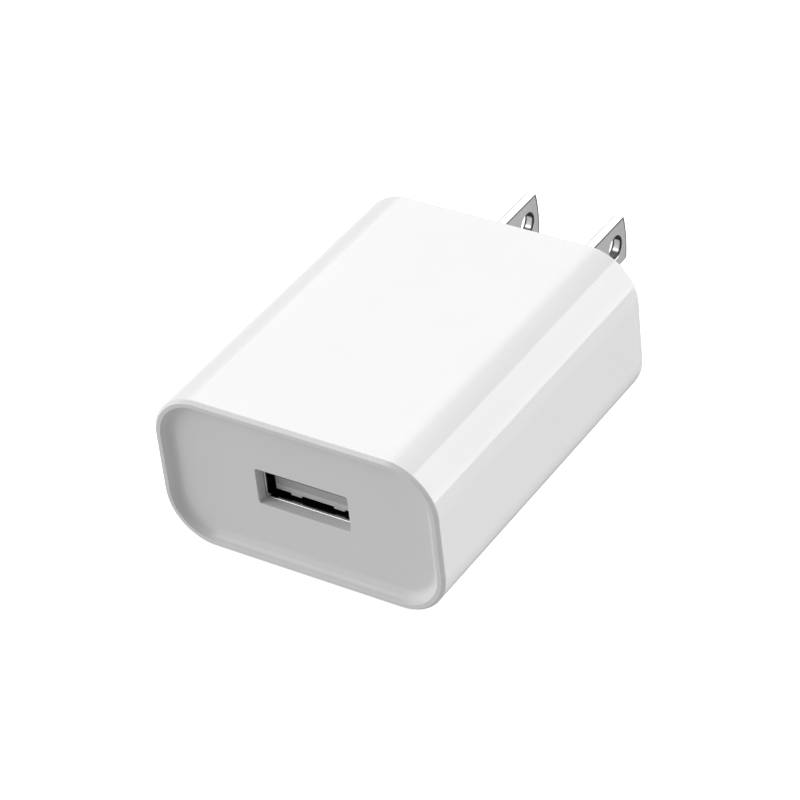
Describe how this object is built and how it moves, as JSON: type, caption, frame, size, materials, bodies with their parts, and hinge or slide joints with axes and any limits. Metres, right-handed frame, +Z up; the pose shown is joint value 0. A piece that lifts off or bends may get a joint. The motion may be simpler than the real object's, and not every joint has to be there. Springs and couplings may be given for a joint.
{
  "type": "usb wall charger",
  "caption": "Compact white wall charger: rounded case with fixed flat mains blades at the rear and a charging port in the dished front.",
  "frame": {"origin": "midway between the two blades, on the flat rear face of the case that meets the outlet", "axes": "+Y out along the blades, into the outlet; +Z up, across the case's height; +X across, from the left blade to the right blade seen from the port side"},
  "size_m": [0.0384, 0.0645, 0.021],
  "materials": {
    "case_plastic": "smooth polished moulded polycarbonate",
    "cover_plastic": "smooth moulded polycarbonate, very slightly duller than the case",
    "plated_brass": "nickel plated brass, bright, with fine drawn lines",
    "spring_brass": "bare phosphor bronze strip",
    "board_laminate": "glass epoxy laminate with green solder mask",
    "plated_sheet": "nickel plated steel sheet, half bright",
    "insulator_plastic": "white glass filled nylon",
    "gilt_contacts": "gold flashed phosphor bronze",
    "bobbin_plastic": "black phenolic moulding",
    "enamelled_wire": "copper wire under clear amber enamel",
    "yellow_tape": "yellow polyester tape",
    "ferrite": "dark grey sintered ferrite, fine grained",
    "tinned_wire": "tinned wire",
    "capacitor_sleeve": "dark shrink sleeve over an aluminium can",
    "seal_rubber": "black butyl rubber",
    "resistor_lacquer": "grey blue lacquer",
    "blue_lacquer": "blue epoxy dip",
    "chip_moulding": "black moulding compound",
    "chip_ceramic": "fired ceramic with tinned ends",
    "solder": "bright solder fillet",
    "fish_paper": "thin pressed insulating paper"
  },
  "bodies": {
    "charger": {"shell": "case_plastic", "front_cover": "cover_plastic", "line_blade": "plated_brass", "neutral_blade": "plated_brass", "line_clip": "spring_brass", "neutral_clip": "spring_brass", "circuit_board": "board_laminate", "usb_shell": "plated_sheet", "usb_insulator": "insulator_plastic", "usb_contact_tails": "gilt_contacts", "transformer_bobbin": "bobbin_plastic", "transformer_winding": "enamelled_wire", "transformer_tape": "yellow_tape", "transformer_core_front": "ferrite", "transformer_core_rear": "ferrite", "transformer_pins": "tinned_wire", "left_input_capacitor": "capacitor_sleeve", "right_input_capacitor": "capacitor_sleeve", "output_capacitor": "capacitor_sleeve", "bias_capacitor": "capacitor_sleeve", "capacitor_seals": "seal_rubber", "input_choke_core": "ferrite", "input_choke_winding": "enamelled_wire", "fusible_resistor": "resistor_lacquer", "safety_capacitor": "blue_lacquer", "bridge_rectifier": "chip_moulding", "control_chip": "chip_moulding", "output_rectifier": "chip_moulding", "snubber_diode": "chip_moulding", "chip_resistors": "chip_ceramic", "chip_capacitors": "chip_ceramic", "component_leads": "tinned_wire", "solder_joints": "solder", "insulating_sheet": "fish_paper"},
    "ground_spring": {"ground_contact": "gilt_contacts"},
    "data_plus_spring": {"data_plus_contact": "gilt_contacts"},
    "data_minus_spring": {"data_minus_contact": "gilt_contacts"},
    "power_spring": {"power_contact": "gilt_contacts"}
  },
  "joints": [
    {"name": "ground_contact_flex", "type": "hinge", "parent": "charger", "child": "ground_spring", "pos_m": [-0.0035, -0.0339, 0.00079], "axis": [1, 0, 0], "range_deg": [0, 2.4], "stiffness_Nm_per_rad": 0.1},
    {"name": "data_plus_contact_flex", "type": "hinge", "parent": "charger", "child": "data_plus_spring", "pos_m": [-0.001, -0.0339, 0.00079], "axis": [1, 0, 0], "range_deg": [0, 2.4], "stiffness_Nm_per_rad": 0.1},
    {"name": "data_minus_contact_flex", "type": "hinge", "parent": "charger", "child": "data_minus_spring", "pos_m": [0.001, -0.0339, 0.00079], "axis": [1, 0, 0], "range_deg": [0, 2.4], "stiffness_Nm_per_rad": 0.1},
    {"name": "power_contact_flex", "type": "hinge", "parent": "charger", "child": "power_spring", "pos_m": [0.0035, -0.0339, 0.00079], "axis": [1, 0, 0], "range_deg": [0, 2.4], "stiffness_Nm_per_rad": 0.1}
  ]
}
